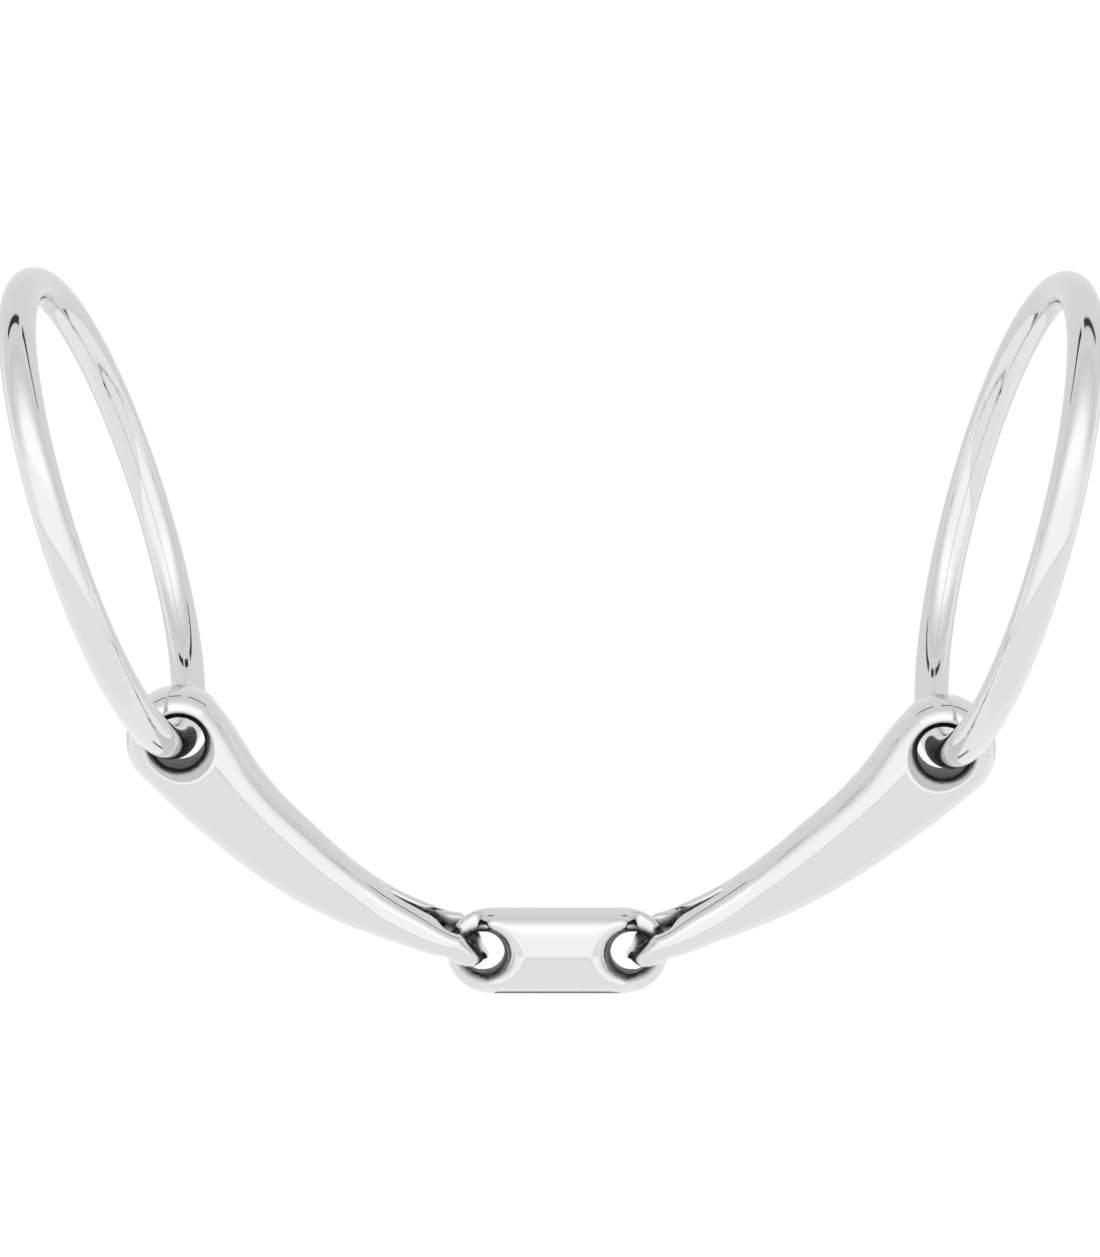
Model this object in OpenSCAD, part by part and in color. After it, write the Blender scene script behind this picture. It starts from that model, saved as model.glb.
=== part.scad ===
// Double-jointed loose-ring snaffle bit, in polished stainless steel.
// Five pieces: two round-wire rings, two tapered mouthpiece arms (cannons) and a lozenge link.
// +X runs across the mouth to the right, +Y towards the rings, +Z along the cheeks.
// The origin is the middle of the link.

/* [Rings] */
// Inside diameter of each ring
ring_inner_d = 70; // [60:1:80]
// Thickness of the ring wire
ring_wire_d = 5.7; // [4:0.1:6]

/* [Cannons] */
// Length from the link joint to the middle of the ring bore
cannon_length = 60.6; // [50:0.1:70]
// Width across the fat end, around the ring bore
butt_width = 16.8; // [15:0.1:20]
// Thickness of the fat end, along the ring bore
butt_thickness = 13.2; // [11:0.1:16]
// Width of the slim end, where it loops through the link
slim_width = 4.6; // [4:0.1:5]
// Thickness of the waist, between the two ends
waist_thickness = 10.4; // [8:0.1:12]
// How far the left cannon is arched off its straight line
left_bow = 5.2; // [0:0.1:7]
// How far the right cannon is arched off its straight line
right_bow = 4; // [0:0.1:7]
// Diameter of the bore that the ring runs in
ring_bore_d = 8.4; // [8:0.1:9]
// Diameter of the small eye that the link's end lies in
slim_eye_d = 7.6; // [7.4:0.1:7.8]
// Thickness of the metal around the small eye
slim_eye_wall = 3.3; // [3:0.1:3.4]

/* [Link] */
// Length of the link, end to end
link_length = 36.2; // [34:0.1:42]
// Width of the link
link_width = 14; // [13:0.1:16]
// Thickness at the middle of the link
link_thickness = 10.4; // [8:0.1:12]
// Thickness of the thin bar beyond each hole, at the very end
link_end_thickness = 4.2; // [3.8:0.1:4.3]
// Diameter of the two holes in the link
link_hole_d = 6.9; // [6.7:0.1:7.1]

/* [Rest pose] */
// Angle of the left cannon to the link
left_cannon_angle = 36.8; // [0:0.1:50]
// Angle of the right cannon to the link
right_cannon_angle = 35; // [0:0.1:50]
// How far each cannon rises from the link to its ring bore
cannon_rise_angle = 6; // [0:0.5:8]
// How far the left ring leans away from the middle
left_ring_lean = 17.1; // [0:0.1:30]
// How far the right ring leans away from the middle
right_ring_lean = 14.4; // [0:0.1:30]
// How far the upper half of each ring opens outwards
ring_splay = 3.4; // [0:0.1:4]

/* [Hidden] */

LEFT = -1;
RIGHT = 1;
ROUND_FN = 96;
RING_FN = 160;
SECTION_POINTS = 32;   // points around each section of a cannon or the link
SECTION_POWER = 2.3;   // 2 is an ellipse, and more is squarer
BOW_POWER = 0.8;       // below 1, the arch of a cannon is fullest on the link's side
END_POWER = 4;         // how blunt the rounded ends are
CAP_STEPS = 9;         // sections in each rounded end
CANNON_STEPS = 22;     // sections along a cannon between its ends
LINK_STEPS = 20;       // sections along the link between its ends
CAP_REACH = 86;        // degrees of a quarter turn at which an end is cut flat
BEYOND = 1;            // how far a cut runs past the metal

ring_r = (ring_inner_d + ring_wire_d) / 2;
hinge_x = 12.5;                                // from the middle of the link to each joint axis
link_hole_x = 12.1;                            // from the middle of the link to each hole
link_cap_x = (link_length - link_width) / 2;   // where the link's round ends begin
link_thin_start = 10.4;                        // where the link begins to thin towards its end bars
link_thin_end = 13.4;                          // where it has thinned to link_end_thickness
link_lip_r = 2.6;
butt_cap_r = 8.3;
butt_lip_r = 2.1;
slim_eye_r = slim_eye_d / 2 + slim_eye_wall;   // outside of the small eye
slim_eye_x = slim_eye_r - slim_eye_wall / 2;   // from the joint axis to the middle of the small eye
slim_eye_lip_r = slim_width / 2 - 0.3;         // leaves a narrow straight land inside the eye
waist_x = 22;                                  // where the cannon is at its thinnest along Z

// 0 before a, 1 after b, and a smooth rise between them
function rise(a, b, x) =
    let (t = min(1, max(0, (x - a) / (b - a))))
    t * t * (3 - 2 * t);

// The rest of a size that has come u of the way to a rounded end
function blunt(u) = pow(1 - pow(min(1, max(0, u)), END_POWER), 1 / END_POWER);

// A point of a section that is 2a wide and 2b thick
function section_point(a, b, turn) =
    let (c = cos(turn), s = sin(turn))
    [a * sign(c) * pow(abs(c), 2 / SECTION_POWER), b * sign(s) * pow(abs(s), 2 / SECTION_POWER)];

// Where the sections of a piece lie: close together in its rounded ends, which begin at x0 and x1
function stations(x0, cap0, x1, cap1, steps) = concat(
    [for (i = [0 : CAP_STEPS - 1]) x0 - cap0 * sin(CAP_REACH * (1 - i / CAP_STEPS))],
    [for (i = [0 : steps]) x0 + (x1 - x0) * i / steps],
    [for (i = [1 : CAP_STEPS]) x1 + cap1 * sin(CAP_REACH * i / CAP_STEPS)]
);

// A closed skin through the sections. shape has [x, y of its middle, half width, half thickness] of each
module skin(shape) {
    rows = len(shape);
    points = [for (s = shape, j = [0 : SECTION_POINTS - 1])
        let (p = section_point(s[2], s[3], 360 * j / SECTION_POINTS))
        [s[0], s[1] + p[0], p[1]]];
    sides = [for (i = [0 : rows - 2], j = [0 : SECTION_POINTS - 1])
        let (k = (j + 1) % SECTION_POINTS, low = i * SECTION_POINTS, high = low + SECTION_POINTS)
        each [[low + j, high + j, high + k], [low + j, high + k, low + k]]];
    first_end = [for (j = [0 : SECTION_POINTS - 1]) j];
    last_end = [for (j = [0 : SECTION_POINTS - 1]) rows * SECTION_POINTS - 1 - j];
    polyhedron(points, concat([first_end], sides, [last_end]));
}

// What is cut away for a round hole with rounded lips, through metal that is thickness deep
module lipped_hole(hole_d, thickness, lip_r) {
    land = thickness / 2 - lip_r;
    rotate_extrude($fn = ROUND_FN)
    difference() {
        translate([0, -thickness / 2 - BEYOND])
        square([hole_d / 2 + lip_r, thickness + 2 * BEYOND]);
        translate([hole_d / 2, -land])
        square([lip_r + BEYOND, 2 * land]);
        for (side = [-1, 1])
        translate([hole_d / 2 + lip_r, side * land])
        circle(r = lip_r, $fn = ROUND_FN);
    }
}

// Half width of a cannon, at x from the link joint
function cannon_half_width(x) =
    let (taper = slim_width / 2 + (butt_width - slim_width) / 2 * min(1, x / cannon_length))
    x > cannon_length ? butt_width / 2 * sqrt(1 - pow((x - cannon_length) / butt_cap_r, 2))
    : x < slim_eye_x ? max(slim_width / 2, taper) * blunt((slim_eye_x - x) / slim_eye_r)
    : taper;

// Half thickness of a cannon, at x from the link joint
function cannon_half_thickness(x) =
    x > cannon_length ? butt_thickness / 2 * blunt((x - cannon_length) / butt_cap_r)
    : x < slim_eye_x ? sqrt(pow(slim_eye_r, 2) - pow(slim_eye_x - x, 2))
    : x < waist_x ? slim_eye_r + (waist_thickness / 2 - slim_eye_r) * rise(slim_eye_x, waist_x, x)
    : (waist_thickness + (butt_thickness - waist_thickness) * rise(waist_x, cannon_length, x)) / 2;

// How far the middle of a cannon is off its straight line. The arch starts at the middle of the small eye
function cannon_middle(x, bow) =
    let (t = min(1, max(0, (x - slim_eye_x) / (cannon_length - slim_eye_x))))
    -bow * sin(180 * pow(t, BOW_POWER));

// A cannon that points along +X, with the link joint at the origin
module cannon(bow) {
    difference() {
        skin([for (x = stations(slim_eye_x, slim_eye_r, cannon_length, butt_cap_r, CANNON_STEPS))
            [x, cannon_middle(x, bow), cannon_half_width(x), cannon_half_thickness(x)]]);
        translate([cannon_length, 0, 0])
        lipped_hole(ring_bore_d, butt_thickness, butt_lip_r);
        translate([slim_eye_x, 0, 0])
        rotate([90, 0, 0])
        lipped_hole(slim_eye_d, slim_width, slim_eye_lip_r);
    }
}

// A cannon in its place on the right, or mirrored on the left
module placed_cannon(side, angle, bow) {
    mirror([side == LEFT ? 1 : 0, 0, 0])
    translate([hinge_x, 0, 0])
    rotate([0, 0, angle])
    rotate([0, -cannon_rise_angle, 0])
    cannon(bow);
}

// The middle of a cannon's ring bore
function bore_middle(side, angle) =
    let (reach = cannon_length * cos(cannon_rise_angle))
    [side * (hinge_x + reach * cos(angle)), reach * sin(angle), cannon_length * sin(cannon_rise_angle)];

// A ring whose wire passes through the middle of its bore
module placed_ring(side, angle, lean) {
    translate(bore_middle(side, angle))
    rotate([0, 0, -side * lean])
    rotate([0, side * ring_splay, 0])
    translate([0, ring_r, 0])
    rotate([0, 90, 0])
    rotate_extrude($fn = RING_FN)
    translate([ring_r, 0])
    circle(d = ring_wire_d, $fn = ROUND_FN);
}

module left_ring() {
    color("gainsboro")
    placed_ring(LEFT, left_cannon_angle, left_ring_lean);
}

module right_ring() {
    color("gainsboro")
    placed_ring(RIGHT, right_cannon_angle, right_ring_lean);
}

module left_cannon() {
    color("silver")
    placed_cannon(LEFT, left_cannon_angle, left_bow);
}

module right_cannon() {
    color("silver")
    placed_cannon(RIGHT, right_cannon_angle, right_bow);
}

// Half width of the link, at x from its middle
function link_half_width(x) =
    let (past = max(0, abs(x) - link_cap_x))
    sqrt(pow(link_width / 2, 2) - past * past);

// Half thickness of the link, at x from its middle
function link_half_thickness(x) =
    let (thin = rise(link_thin_start, link_thin_end, abs(x)))
    (link_thickness + (link_end_thickness - link_thickness) * thin) / 2
        * blunt((abs(x) - link_cap_x) / (link_width / 2));

module centre_link() {
    color("silver")
    difference() {
        skin([for (x = stations(-link_cap_x, link_width / 2, link_cap_x, link_width / 2, LINK_STEPS))
            [x, 0, link_half_width(x), link_half_thickness(x)]]);
        for (side = [LEFT, RIGHT])
        translate([side * link_hole_x, 0, 0])
        lipped_hole(link_hole_d, link_thickness, link_lip_r);
    }
}

left_ring();
right_ring();
left_cannon();
right_cannon();
centre_link();
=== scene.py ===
"""Looks of the loose-ring snaffle bit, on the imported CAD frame.

The fields and pieces are worked out in millimetres in the CAD frame, and meshes are written in metres.
"""

import math

import bpy
import numpy as np
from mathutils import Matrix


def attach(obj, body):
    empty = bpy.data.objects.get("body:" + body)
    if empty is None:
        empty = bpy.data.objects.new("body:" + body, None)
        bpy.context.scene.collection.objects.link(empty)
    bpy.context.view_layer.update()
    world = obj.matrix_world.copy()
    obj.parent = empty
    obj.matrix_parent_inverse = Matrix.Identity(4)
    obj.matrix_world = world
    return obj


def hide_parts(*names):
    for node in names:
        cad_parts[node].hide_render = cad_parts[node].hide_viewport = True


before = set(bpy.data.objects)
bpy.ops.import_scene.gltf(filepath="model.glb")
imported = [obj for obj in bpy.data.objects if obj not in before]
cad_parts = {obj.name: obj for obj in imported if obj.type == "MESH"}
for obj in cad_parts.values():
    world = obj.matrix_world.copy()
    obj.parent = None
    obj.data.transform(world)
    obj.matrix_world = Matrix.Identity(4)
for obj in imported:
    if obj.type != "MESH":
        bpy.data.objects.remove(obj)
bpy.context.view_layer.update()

MM = 0.001
LEFT, RIGHT = -1, 1

# Sizes shared with the CAD model, in millimetres and degrees
HINGE_X = 12.5
CANNON_LENGTH = 60.6
CANNON_RISE = 6.0
CANNON_ANGLE = {LEFT: 36.8, RIGHT: 35.0}
CANNON_BOW = {LEFT: 5.2, RIGHT: 4.0}
BOW_POWER = 0.8
RING_LEAN = {LEFT: 17.1, RIGHT: 14.4}
RING_SPLAY = 3.4
RING_R = 37.85
WIRE_R = 2.85
BORE_R = 4.2
EYE_HOLE_R = 3.8
EYE_WALL = 3.3
EYE_X = EYE_HOLE_R + EYE_WALL / 2
EYE_R = EYE_HOLE_R + EYE_WALL
WAIST_THICKNESS = 10.4
BUTT_THICKNESS = 13.2
LINK_LENGTH = 36.2
LINK_WIDTH = 14.0
LINK_THICKNESS = 10.4
LINK_END_THICKNESS = 4.2
LINK_HOLE_X = 12.1
LINK_THIN_START, LINK_THIN_END = 10.4, 13.4
LINK_HOLE_R = 3.45

# Only in the visual model
POCKET_LENGTH = 11.5  # from the middle of each small eye to the far end of the pocket beside it
SEPTUM = 0.7  # half of the metal between the pockets of the two sides
STRAND_DROP = 1.2  # how much lower the front strand of each small eye sits
FLARE = 2.0  # how much wider a bore is at its mouths
CREST_LEAN = 0.2  # how far the crest lies above a cannon's middle, as a share of its half width
UPPER_DIP = 0.1  # how much narrower the upper side is next to the butt, as a share of the half width
FINE = 0.4  # grid step of the sculpted pieces


# ---------------------------------------------------------------- small maths helpers


def rise(a, b, x):
    """0 before a, 1 after b, and a smooth rise between them."""
    t = np.clip((x - a) / (b - a), 0, 1)
    return t * t * (3 - 2 * t)


def join(a, b, k):
    """Union of two fields, with a fillet about k wide."""
    h = np.maximum(k - np.abs(a - b), 0)
    return np.minimum(a, b) - h * h / (4 * k)


def cut(a, b, k):
    """Field a with b taken away, with an edge rounded about k wide."""
    h = np.maximum(k - np.abs(a + b), 0)
    return np.maximum(a, -b) + h * h / (4 * k)


def oval(u, v, a, b, power):
    """Signed distance, measured along the ray from the middle, to a superellipse 2a wide and 2b thick."""
    rho = np.hypot(u, v) + 1e-9
    level = (np.abs(u / a) ** power + np.abs(v / b) ** power) ** (1 / power) + 1e-9
    return rho - rho / level


def turn(points, axis, degrees):
    """points turned about a row axis through the origin."""
    c, s = math.cos(math.radians(degrees)), math.sin(math.radians(degrees))
    i, j = [(1, 2), (2, 0), (0, 1)][axis]
    out = points.copy()
    out[:, i] = c * points[:, i] - s * points[:, j]
    out[:, j] = s * points[:, i] + c * points[:, j]
    return out


# ---------------------------------------------------------------- meshes from fields


def gradient(field, p, h=0.02):
    g = np.empty_like(p)
    for i in range(3):
        step = np.zeros(3)
        step[i] = h
        g[:, i] = (field(p + step) - field(p - step)) / (2 * h)
    return g


def surface_net(field, low, high, step):
    """Vertices and quads of the field's zero surface, one vertex in each cell that it crosses."""
    low = np.array(low, float)
    count = np.ceil((np.array(high, float) - low) / step).astype(int) + 1
    grid = np.stack(np.meshgrid(*[np.arange(n) for n in count], indexing="ij"), -1)
    value = field((low + grid.reshape(-1, 3) * step)).reshape(count)
    inside = value < 0
    cells = tuple(count - 1)
    total = np.zeros(cells + (3,))
    hits = np.zeros(cells)

    def corner(array, offset):
        return array[tuple(slice(o, o + n) for o, n in zip(offset, cells))]

    for axis in range(3):
        others = [i for i in range(3) if i != axis]
        for a in (0, 1):
            for b in (0, 1):
                start = [0, 0, 0]
                start[others[0]], start[others[1]] = a, b
                end = list(start)
                end[axis] = 1
                v0, v1 = corner(value, start), corner(value, end)
                crossed = (v0 < 0) != (v1 < 0)
                t = np.where(crossed, v0 / np.where(crossed, v0 - v1, 1), 0)
                point = np.zeros(cells + (3,)) + np.array(start, float)
                point[..., axis] += t
                total += point * crossed[..., None]
                hits += crossed
    mixed = hits > 0
    index = -np.ones(cells, int)
    index[mixed] = np.arange(mixed.sum())
    where = np.argwhere(mixed)
    vertices = low + (where + total[mixed] / hits[mixed][:, None]) * step
    quads = []
    for axis in range(3):
        u, w = [(1, 2), (2, 0), (0, 1)][axis]
        first = np.moveaxis(inside, (axis, u, w), (0, 1, 2))[:-1, 1:-1, 1:-1]
        second = np.moveaxis(inside, (axis, u, w), (0, 1, 2))[1:, 1:-1, 1:-1]
        ordered = np.moveaxis(index, (axis, u, w), (0, 1, 2))
        ring = [ordered[:, :-1, :-1], ordered[:, 1:, :-1], ordered[:, 1:, 1:], ordered[:, :-1, 1:]]
        for sign, chosen in ((1, first & ~second), (-1, ~first & second)):
            quad = np.stack([r[chosen] for r in ring], -1)
            quads.append(quad[:, ::sign])
    return vertices, np.concatenate(quads)


def settle(field, p, rounds):
    """Moves points straight onto the field's zero surface."""
    for _ in range(rounds):
        g = gradient(field, p)
        size = np.maximum((g * g).sum(1), 1e-6)
        p = p - np.clip(field(p) / size, -0.5, 0.5)[:, None] * g
    return p


def relax(p, quads, share):
    """Moves each point towards the average of its neighbours, so that the quads get more even."""
    total = np.zeros_like(p)
    hits = np.zeros(len(p))
    for a, b in ((0, 1), (1, 2), (2, 3), (3, 0)):
        for i, j in ((a, b), (b, a)):
            np.add.at(total, quads[:, i], p[quads[:, j]])
            np.add.at(hits, quads[:, i], 1)
    return p + share * (total / np.maximum(hits, 1)[:, None] - p)


def face_out(points, quads, normals):
    """The quads, turned over if they face against the normals."""
    across = np.cross(points[quads[:, 2]] - points[quads[:, 0]], points[quads[:, 3]] - points[quads[:, 1]])
    return quads[:, ::-1] if (across * normals[quads[:, 0]]).sum() < 0 else quads


def make_object(name, vertices, quads, normals, body, node, masks=None):
    mesh = bpy.data.meshes.new(name)
    mesh.from_pydata((vertices * MM).tolist(), [], quads.tolist())
    mesh.polygons.foreach_set("use_smooth", np.ones(len(quads), bool))
    for mask, values in (masks or {}).items():
        attribute = mesh.attributes.new(mask, "FLOAT", "POINT")
        attribute.data.foreach_set("value", values.astype(np.float32))
    mesh.normals_split_custom_set_from_vertices(normals.tolist())
    mesh.update()
    obj = bpy.data.objects.new(name, mesh)
    bpy.context.scene.collection.objects.link(obj)
    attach(obj, body)
    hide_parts(node)
    return obj


def sculpt(name, field, low, high, step, place, body, node, mask_fields):
    """A piece made from a field in its own coordinates, moved by place into the row frame."""
    points, quads = surface_net(field, low, high, step)
    points = settle(field, points, 3)
    for _ in range(3):
        points = settle(field, relax(points, quads, 0.5), 2)
    normals = gradient(field, points)
    normals /= np.linalg.norm(normals, axis=1)[:, None]
    masks = {key: mask(points) for key, mask in mask_fields.items()}
    moved = place(points)
    turned = place(points + normals) - moved
    quads = face_out(moved, quads, turned)
    return make_object(name, moved, quads, turned, body, node, masks)


# ---------------------------------------------------------------- cannons


def cannon_middle(x, bow):
    t = np.clip((x - EYE_X) / (CANNON_LENGTH - EYE_X), 0, 1)
    return -bow * np.sin(np.pi * t**BOW_POWER)


def cannon_half_width(x):
    """A straight taper that levels out at the butt."""
    slim, slope, butt = 2.3, 0.108, 8.6
    return join(slim + slope * x, butt + 0 * x, 1.0) - 0.15 * (1 - rise(3, 14, x))


def cannon_half_thickness(x):
    """Thick at the small eye, thinnest at the waist, and thick again at the butt."""
    waist_x = 24
    waist, butt = WAIST_THICKNESS / 2, BUTT_THICKNESS / 2
    neck = EYE_R + (waist - EYE_R) * rise(EYE_X, waist_x, x)
    return neck + (butt - waist) * rise(waist_x, CANNON_LENGTH, x)


def bore_radius(z):
    """Radius of the ring bore at height z, with countersunk mouths."""
    land = 3.8
    reach = BUTT_THICKNESS / 2 - land
    return BORE_R + FLARE * (np.clip(np.abs(z) - land, 0, 3) / reach) ** 1.5


def off_middle(p, bow):
    """How far points lie from a cannon's middle, across it. The eye's front strand sits a little lower."""
    x, y, z = p[:, 0], p[:, 1], p[:, 2]
    return y - cannon_middle(x, bow) + STRAND_DROP * rise(2.5, 5, z) * (1 - rise(3, 14, x))


def pocket_edge(x, z):
    """Distance to the outline of the pocket that tapers from the small eye into the neck."""
    wide, narrower = EYE_HOLE_R - 0.2, 1.8
    along = np.clip((x - EYE_X) / POCKET_LENGTH, 0, 1)
    return np.hypot(np.maximum(x - EYE_X - POCKET_LENGTH, 0), z) - (wide - narrower * along)


def cannon_body(p, side):
    """The arm before its holes: a superellipse section whose crest leans up, between two round ends."""
    x, y, z = p[:, 0], p[:, 1], p[:, 2]
    half_width = cannon_half_width(np.minimum(x, CANNON_LENGTH))
    lean = CREST_LEAN * rise(6, 22, x) * (1 - rise(44, CANNON_LENGTH, x))
    dip = UPPER_DIP * rise(32, 44, x) * (1 - rise(46, 57, x))
    off_crest = side - lean * half_width
    off_crest = off_crest / np.where(off_crest > 0, 1 - lean - dip, 1 + lean)
    across = np.where(x > CANNON_LENGTH, np.hypot(x - CANNON_LENGTH, y), np.abs(off_crest))
    up = np.where(x < EYE_X, np.hypot(x - EYE_X, z), z)
    squareness = 2.3 + 0.5 * (1 - rise(6, 20, x)) + 0.7 * rise(46, 58, x)
    return oval(across, up, half_width, cannon_half_thickness(x), squareness)


def small_eye(x, z, side):
    """The small eye's hole, with round lips."""
    land, lip = 0.3, 2.0
    over = np.clip(np.abs(side) - land, 0, lip) / lip
    return np.hypot(x - EYE_X, z) - EYE_HOLE_R - 1.7 * (1 - np.sqrt(1 - over**2))


def cannon_field(bow):
    """A tapered arm along +X: a small eye at the origin's end, and a bored butt at the other."""

    def field(p):
        x, y, z = p[:, 0], p[:, 1], p[:, 2]
        side = off_middle(p, bow)
        solid = cut(cannon_body(p, side), small_eye(x, z, side), 0.6)
        pocket = -join(-pocket_edge(x, z), np.abs(side) - SEPTUM, 1.2)
        solid = cut(solid, pocket, 1.5)
        return cut(solid, np.hypot(x - CANNON_LENGTH, y) - bore_radius(z), 0.4)

    return field


def place_cannon(side):
    def place(points):
        p = turn(points, 1, -CANNON_RISE)
        p = turn(p, 2, CANNON_ANGLE[side])
        p[:, 0] += HINGE_X
        if side == LEFT:
            p[:, 0] *= -1
        return p

    return place


def cannon_mask(bow):
    """1 on the rough walls of the bore and the neck's pocket, which get painted shade as well as roughness,
    and 0 on the polished outside.
    """

    def mask(p):
        x, z = p[:, 0], p[:, 2]
        rho = np.hypot(x - CANNON_LENGTH, p[:, 1])
        bore = (1 - rise(BORE_R + 0.2, BORE_R + 0.9, rho)) * (1 - rise(4.6, 5.8, np.abs(z)))
        deep = 1 - rise(2.1, 2.8, np.abs(off_middle(p, bow)))
        pocket = (1 - rise(0.3, 0.9, pocket_edge(x, z))) * deep * rise(0.2, 1.2, x)
        return np.maximum(bore, pocket)

    return mask


def add_cannon(side):
    name = "left_cannon" if side == LEFT else "right_cannon"
    return sculpt(
        name + "_forging",
        cannon_field(CANNON_BOW[side]),
        (-3.5, -12, -8),
        (CANNON_LENGTH + 9.5, 10, 8),
        FINE,
        place_cannon(side),
        name,
        name,
        {"rough_walls_painted_shade": cannon_mask(CANNON_BOW[side])},
    )


# ---------------------------------------------------------------- link


def link_field(p):
    """A lozenge that thins to a bar beyond each of its two flared holes."""
    x, y, z = np.abs(p[:, 0]), p[:, 1], p[:, 2]
    cap_x = (LINK_LENGTH - LINK_WIDTH) / 2
    past = np.maximum(x - cap_x, 0)
    plan = np.hypot(past, y)
    thinning = (LINK_THICKNESS - LINK_END_THICKNESS) * rise(LINK_THIN_START, LINK_THIN_END, x)
    half_thick = (LINK_THICKNESS - thinning) / 2
    solid = oval(plan, z, LINK_WIDTH / 2, half_thick, 2.3)
    rho = np.hypot(x - LINK_HOLE_X, y)
    land = 1.5
    hole = rho - LINK_HOLE_R - 0.36 * np.clip(np.abs(z) - land, 0, 4) ** 1.4
    return cut(solid, hole, 1.6)


def link_mask(p):
    """1 on the rough walls of the link's holes, fading out over their lips: it places their painted shade as
    well as their roughness.
    """
    rho = np.hypot(np.abs(p[:, 0]) - LINK_HOLE_X, p[:, 1])
    return (1 - rise(LINK_HOLE_R + 0.3, LINK_HOLE_R + 1.6, rho)) * (1 - rise(2.4, 4.6, np.abs(p[:, 2])))


def add_link():
    return sculpt(
        "centre_link_forging",
        link_field,
        (-19.5, -8.5, -6.5),
        (19.5, 8.5, 6.5),
        FINE,
        lambda points: points,
        "centre_link",
        "centre_link",
        {"rough_walls_painted_shade": link_mask},
    )


# ---------------------------------------------------------------- rings


def bore_middle(side):
    reach = CANNON_LENGTH * math.cos(math.radians(CANNON_RISE))
    angle = math.radians(CANNON_ANGLE[side])
    return np.array(
        [
            side * (HINGE_X + reach * math.cos(angle)),
            reach * math.sin(angle),
            CANNON_LENGTH * math.sin(math.radians(CANNON_RISE)),
        ]
    )


def add_ring(side):
    """A ring of round wire, whose wire passes through the middle of its bore."""
    name = "left_ring" if side == LEFT else "right_ring"
    rounds, ribs = 420, 72
    t = np.linspace(0, 2 * np.pi, rounds, endpoint=False)
    s = np.linspace(0, 2 * np.pi, ribs, endpoint=False)
    tt, ss = np.meshgrid(t, s, indexing="ij")
    normal = np.stack([np.sin(ss), -np.cos(ss) * np.cos(tt), np.cos(ss) * np.sin(tt)], -1).reshape(-1, 3)
    middle = np.stack([0 * tt, RING_R - RING_R * np.cos(tt), RING_R * np.sin(tt)], -1).reshape(-1, 3)
    points = middle + WIRE_R * normal

    def place(p, shift):
        p = turn(p, 1, side * RING_SPLAY)
        p = turn(p, 2, -side * RING_LEAN[side])
        return p + shift

    points, normal = place(points, bore_middle(side)), place(normal, 0)
    i = np.arange(rounds)[:, None] * ribs
    i2 = (np.arange(rounds)[:, None] + 1) % rounds * ribs
    j = np.arange(ribs)[None, :]
    j2 = (j + 1) % ribs
    quads = np.stack([i + j, i + j2, i2 + j2, i2 + j], -1).reshape(-1, 4)
    quads = face_out(points, quads, normal)
    return make_object(name + "_wire", points, quads, normal, name, name)


# ---------------------------------------------------------------- materials


class Nodes:
    """A short way to write a node tree."""

    def __init__(self, tree):
        self.tree = tree
        tree.nodes.clear()

    def add(self, kind, inputs=None, **settings):
        node = self.tree.nodes.new(kind)
        for key, value in settings.items():
            setattr(node, key, value)
        for key, value in (inputs or {}).items():
            if isinstance(value, bpy.types.NodeSocket):
                self.tree.links.new(value, node.inputs[key])
            else:
                node.inputs[key].default_value = value
        return node

    def noise(self, vector, scale, detail=2.0, roughness=0.5):
        inputs = {"Vector": vector, "Scale": scale, "Detail": detail, "Roughness": roughness}
        return self.add("ShaderNodeTexNoise", inputs).outputs[0]

    def remap(self, value, low, high, start, end, kind="LINEAR"):
        """value between low and high, as a number between start and end."""
        inputs = {"Value": value, "From Min": low, "From Max": high, "To Min": start, "To Max": end}
        return self.add("ShaderNodeMapRange", inputs, interpolation_type=kind).outputs[0]

    def maths(self, operation, a, b):
        return self.add("ShaderNodeMath", {0: a, 1: b}, operation=operation).outputs[0]

    def mix(self, share, a, b):
        inputs = {"Factor": share, "A": a, "B": b}
        return self.add("ShaderNodeMix", inputs, data_type="RGBA").outputs["Result"]

    def bump(self, height, strength, distance, normal=None):
        inputs = {"Height": height, "Strength": strength, "Distance": distance}
        if normal:
            inputs["Normal"] = normal
        return self.add("ShaderNodeBump", inputs).outputs[0]

    def stretch(self, vector, x, y, z):
        return self.add("ShaderNodeMapping", {"Vector": vector, "Scale": (x, y, z)}).outputs[0]

    def surface(self, inputs):
        shader = self.add("ShaderNodeBsdfPrincipled", inputs)
        self.add("ShaderNodeOutputMaterial", {"Surface": shader.outputs[0]})


def new_material(name):
    """A new material, its short way to write nodes, and the place on the object."""
    material = bpy.data.materials.new(name)
    material.use_nodes = True
    n = Nodes(material.node_tree)
    return material, n, n.add("ShaderNodeTexCoord").outputs["Object"]


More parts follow.
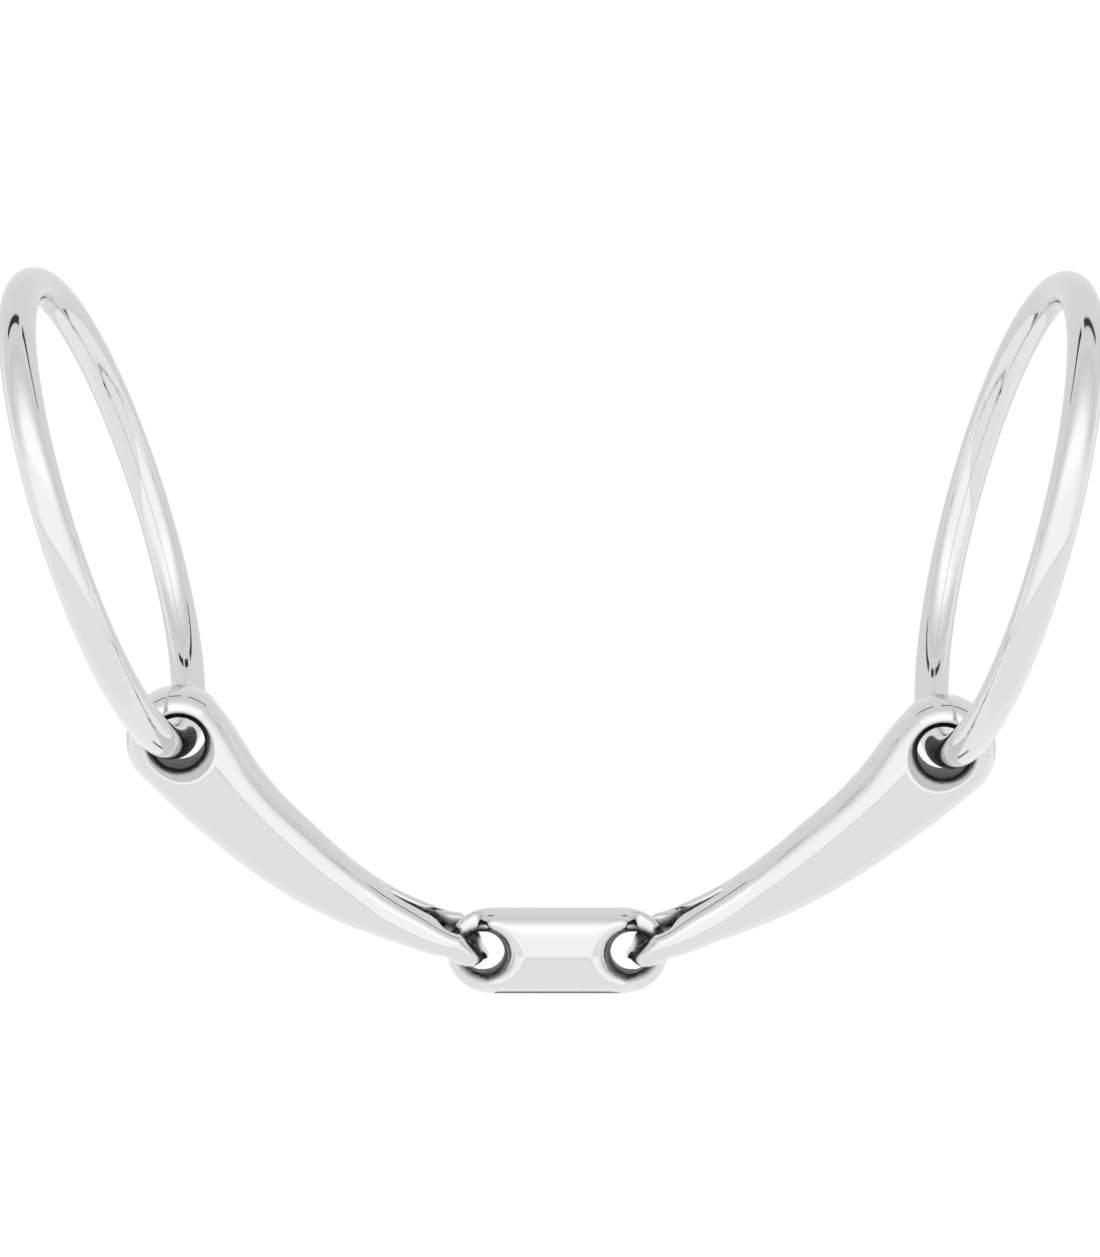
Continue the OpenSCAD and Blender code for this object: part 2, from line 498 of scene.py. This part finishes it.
def steel(name, tint, rough_walls_painted_shade):
    """Mirror-polished stainless steel: fine polishing marks, uneven gloss, and rough drilled holes whose
    walls are darkened with painted shade.
    """
    material, n, place = new_material(name)
    cloud = n.noise(place, 90.0)
    colour = n.mix(cloud, (tint * 0.97, tint * 0.97, tint * 0.975, 1), (tint, tint, tint, 1))
    rough = n.remap(cloud, 0.3, 0.7, 0.045, 0.085)
    scratches = n.noise(n.stretch(place, 900.0, 2600.0, 900.0), 1.0, 3.0, 0.7)
    normal = n.bump(scratches, 0.02, 0.00002)
    normal = n.bump(n.noise(place, 260.0, 1.0), 0.05, 0.00002, normal)
    if rough_walls_painted_shade:
        mask = n.add("ShaderNodeAttribute", attribute_name="rough_walls_painted_shade").outputs["Fac"]
        marks = n.noise(n.stretch(place, 500.0, 500.0, 2200.0), 1.0, 4.0, 0.75)
        # painted shade: the walls of the holes and of the neck's pocket get a near-black colour with streaky
        # tool marks, far darker than their rough steel
        colour = n.mix(mask, colour, n.remap(marks, 0.4, 0.62, 0.005, 0.13))
        rough = n.remap(mask, 0.0, 1.0, rough, 0.38)
        normal = n.bump(marks, n.maths("MULTIPLY", mask, 0.5), 0.0004, normal)
    n.surface({"Base Color": colour, "Metallic": 1.0, "Roughness": rough, "Normal": normal})
    return material


def floor_material():
    """Pale paper, with painted shade that greys it far beyond the rings, standing in for the light falling
    off there.
    """
    material, n, place = new_material("pale_floor")
    shade = n.remap(n.noise(place, 6.0), 0.0, 1.0, 0.94, 0.96)
    away = n.add("ShaderNodeSeparateXYZ", {0: place}).outputs["Y"]
    # painted shade: the floor darkens beyond the rings as if less light reached it
    falloff_shade = n.remap(away, 0.16, 0.3, 1.0, 0.8, "SMOOTHSTEP")
    n.surface({"Base Color": n.maths("MULTIPLY", shade, falloff_shade), "Roughness": 0.9})
    return material


def cloth(name, shade):
    material, n, place = new_material(name)
    tone = n.remap(n.noise(place, 900.0), 0.0, 1.0, shade * 0.95, shade * 1.05)
    n.surface({"Base Color": tone, "Roughness": 0.95})
    return material


# ---------------------------------------------------------------- stage

FLOOR_Z = -0.16  # metres, as is everything else of the stage


def add_camera():
    data = bpy.data.cameras.new("camera")
    data.lens = 99.44
    data.sensor_width = 36
    data.clip_start, data.clip_end = 0.01, 20
    camera = bpy.data.objects.new("camera", data)
    camera.location = (-0.00123, 0.12149, 0.55741)
    camera.rotation_euler = (math.radians(-7), 0, 0)
    bpy.context.scene.collection.objects.link(camera)
    bpy.context.scene.camera = camera


def add_sheet(name, corners, material):
    """A flat four-cornered sheet of the studio."""
    mesh = bpy.data.meshes.new(name)
    mesh.from_pydata(corners, [], [(0, 1, 2, 3)])
    mesh.materials.append(material)
    sheet = bpy.data.objects.new(name, mesh)
    bpy.context.scene.collection.objects.link(sheet)
    return sheet


def level_corners(x0, x1, y0, y1, z):
    return [(x0, y0, z), (x1, y0, z), (x1, y1, z), (x0, y1, z)]


def add_floor():
    reach = 6.0
    add_sheet("floor", level_corners(-reach, reach, -reach, reach, FLOOR_Z), floor_material())


def add_panel(name, corners, shade):
    """A studio panel that only the polished metal reflects: the camera doesn't see it."""
    panel = add_sheet(name, corners, cloth(name + "_cloth", shade))
    panel.visible_camera = False
    panel.visible_diffuse = False
    panel.visible_shadow = False


def add_black_flag(name, x0, x1):
    """Upright beyond the rings: it draws the thin dark lines in the wires."""
    y, z0, z1 = 0.53, -0.15, -0.095
    add_panel(name, [(x0, y, z0), (x1, y, z0), (x1, y, z1), (x0, y, z1)], 0.02)


def add_card(name, reach, y0, y1, shade):
    """Flat just above the floor: it greys the flanks of the mouthpiece."""
    add_panel(name, level_corners(-reach, reach, y0, y1, FLOOR_Z + 0.005), shade)


def add_world():
    """A big pale tent. It is plain in front of the crest line, with a grey seam there, and brighter above."""
    world = bpy.data.worlds.new("studio")
    bpy.context.scene.world = world
    world.use_nodes = True
    n = Nodes(world.node_tree)
    direction = n.add("ShaderNodeTexCoord").outputs["Generated"]
    parts = n.add("ShaderNodeSeparateXYZ", {0: direction})
    y, z = parts.outputs["Y"], parts.outputs["Z"]

    def step(value, low, high, start, end):
        return n.remap(value, low, high, start, end, "SMOOTHSTEP")

    front, above = 1.02, 0.2
    height = step(z, 0.0, 0.8, 0.0, 1.0)
    low_beyond = n.maths("MULTIPLY", n.maths("SUBTRACT", 1.0, height), step(y, 0.0, 0.4, 0.0, -0.22))
    tent = n.maths("ADD", n.maths("MULTIPLY", height, above), low_beyond)
    glow = n.maths("MULTIPLY", step(y, 0.3, 0.6, 0.0, 0.14), step(z, 0.35, 0.6, 0.0, 1.0))
    beyond = n.maths("MULTIPLY", step(y, -0.235, -0.205, 0.0, 1.0), n.maths("ADD", tent, glow))
    seam = n.maths("MULTIPLY", step(y, -0.28, -0.235, 0.0, -0.1), step(y, -0.235, -0.21, 1.0, 0.0))
    strength = n.maths("ADD", n.maths("ADD", front, beyond), seam)
    background = n.add("ShaderNodeBackground", {"Color": (1, 1, 1, 1), "Strength": strength})
    n.add("ShaderNodeOutputWorld", {"Surface": background.outputs[0]})


add_camera()
add_floor()
add_world()
add_black_flag("flag_left", -0.45, -0.045)
add_black_flag("flag_right", 0.045, 0.45)
add_card("card_beyond", 0.3, -0.02, 0.5, 0.78)
# A dark card of painted shade: it stands for the shade under the link, and darkens the link's bottom edge in
# reflection.
add_card("painted_shade_card", 0.014, -0.25, -0.021, 0.2)
bpy.context.scene.view_settings.view_transform = "Standard"

forged = steel("polished_forging", 0.74, True)
drawn = steel("polished_wire", 0.74, False)
pieces = [add_cannon(LEFT), add_cannon(RIGHT), add_link()]
rings = [add_ring(LEFT), add_ring(RIGHT)]
for piece in pieces:
    piece.data.materials.append(forged)
for piece in rings:
    piece.data.materials.append(drawn)
